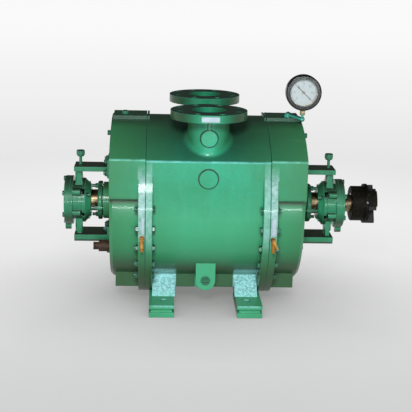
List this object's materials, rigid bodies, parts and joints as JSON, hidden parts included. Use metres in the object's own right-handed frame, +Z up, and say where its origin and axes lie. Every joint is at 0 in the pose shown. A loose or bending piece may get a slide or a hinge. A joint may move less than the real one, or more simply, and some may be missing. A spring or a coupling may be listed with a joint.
{
  "type": "liquid ring vacuum pump",
  "caption": "Liquid ring vacuum pump on feet, with a crowned casing, two flanged top nozzles, bearing brackets at both ends, a jaw coupling half and a vacuum gauge.",
  "frame": {"origin": "centre of the foot bolt pattern on the base plane", "axes": "+X along the shaft towards the coupling, +Y from the front (suction side) to the back, +Z up"},
  "size_m": [0.989, 0.5906, 0.717],
  "materials": {
    "casting_paint": "glossy",
    "bracket_paint": "glossy",
    "fastener_paint": "glossy",
    "fitting_paint": "satin",
    "gasket": "matt",
    "inner_iron": "as cast",
    "rotor_iron": "machined",
    "shaft_steel": "stained",
    "sleeve_steel": "stained",
    "packing": "greasy",
    "bronze": "dull",
    "bearing_steel": "ground",
    "coupling_black": "oiled",
    "spider_rubber": "matt",
    "gauge_black": "satin",
    "dial_white": "satin",
    "gauge_glass": "clear",
    "pointer_black": "satin",
    "gauge_pipe": "glossy",
    "cock_brass": "worn",
    "handle_metal": "worn",
    "rusty_pipe": "rusty"
  },
  "bodies": {
    "casing": {"body_casing": "casting_paint", "left_head": "casting_paint", "right_head": "casting_paint", "head_gaskets": "gasket", "left_port_cone": "inner_iron", "right_port_cone": "inner_iron", "joint_bolts": "fastener_paint", "joint_nuts": "fastener_paint", "left_bearing_bracket": "bracket_paint", "right_bearing_bracket": "bracket_paint", "bracket_bolts": "fastener_paint", "left_outer_cover": "bracket_paint", "right_outer_cover": "bracket_paint", "left_inner_cover": "bracket_paint", "right_inner_cover": "bracket_paint", "cover_screws": "fastener_paint", "left_bearing_outer_race": "bearing_steel", "right_bearing_outer_race": "bearing_steel", "grease_cup_bases": "fitting_paint", "gland_studs": "fastener_paint", "packing_rings": "packing", "lantern_rings": "bronze", "head_plugs": "fastener_paint", "gauge_pipe": "gauge_pipe", "gauge_case": "gauge_black", "gauge_dial": "dial_white", "gauge_glass": "gauge_glass", "left_cock_body": "cock_brass", "right_cock_body": "cock_brass", "inlet_nipple": "rusty_pipe", "drain_plug": "fitting_paint"},
    "rotor": {"shaft": "shaft_steel", "rotor": "rotor_iron", "left_shaft_sleeve": "sleeve_steel", "right_shaft_sleeve": "sleeve_steel", "spacer_rings": "shaft_steel", "shaft_keys": "bearing_steel", "bearing_inner_races": "bearing_steel", "coupling_half": "coupling_black", "coupling_spider": "spider_rubber", "coupling_set_screw": "bearing_steel", "bearing_locknuts": "bearing_steel"},
    "cages": {"bearing_rollers": "bearing_steel", "roller_cages": "bronze"},
    "left_gland": {"left_gland_follower": "bracket_paint", "left_gland_nuts": "fastener_paint"},
    "right_gland": {"right_gland_follower": "bracket_paint", "right_gland_nuts": "fastener_paint"},
    "left_cap": {"left_grease_cap": "fitting_paint"},
    "right_cap": {"right_grease_cap": "fitting_paint"},
    "left_handle": {"left_cock_handle": "handle_metal"},
    "right_handle": {"right_cock_handle": "handle_metal"},
    "pointer": {"gauge_pointer": "pointer_black"}
  },
  "joints": [
    {"name": "rotor_spin", "type": "hinge", "parent": "casing", "child": "rotor", "pos_m": [0, 0, 0.296], "axis": [1, 0, 0], "continuous": true},
    {"name": "cage_spin", "type": "hinge", "parent": "casing", "child": "cages", "pos_m": [0, 0, 0.296], "axis": [1, 0, 0], "continuous": true},
    {"name": "left_gland_slide", "type": "slide", "parent": "casing", "child": "left_gland", "axis": [-1, 0, 0], "range_m": [0, 0.01]},
    {"name": "right_gland_slide", "type": "slide", "parent": "casing", "child": "right_gland", "axis": [1, 0, 0], "range_m": [0, 0.01]},
    {"name": "left_cap_press", "type": "slide", "parent": "casing", "child": "left_cap", "axis": [0, 0, -1], "range_m": [0, 0.004]},
    {"name": "right_cap_press", "type": "slide", "parent": "casing", "child": "right_cap", "axis": [0, 0, -1], "range_m": [0, 0.004]},
    {"name": "left_cock_turn", "type": "hinge", "parent": "casing", "child": "left_handle", "pos_m": [-0.1935, -0.3023, 0.249], "axis": [0, 1, 0], "range_deg": [0, 90]},
    {"name": "right_cock_turn", "type": "hinge", "parent": "casing", "child": "right_handle", "pos_m": [0.1935, -0.3023, 0.249], "axis": [0, -1, 0], "range_deg": [-30, 60]},
    {"name": "gauge_needle", "type": "hinge", "parent": "casing", "child": "pointer", "pos_m": [0.288, -0.104, 0.663], "axis": [0, -1, 0], "range_deg": [-181, 89]}
  ],
  "couplings": [
    {"joint": "cage_spin", "follows": "rotor_spin", "ratio": 0.4359}
  ]
}
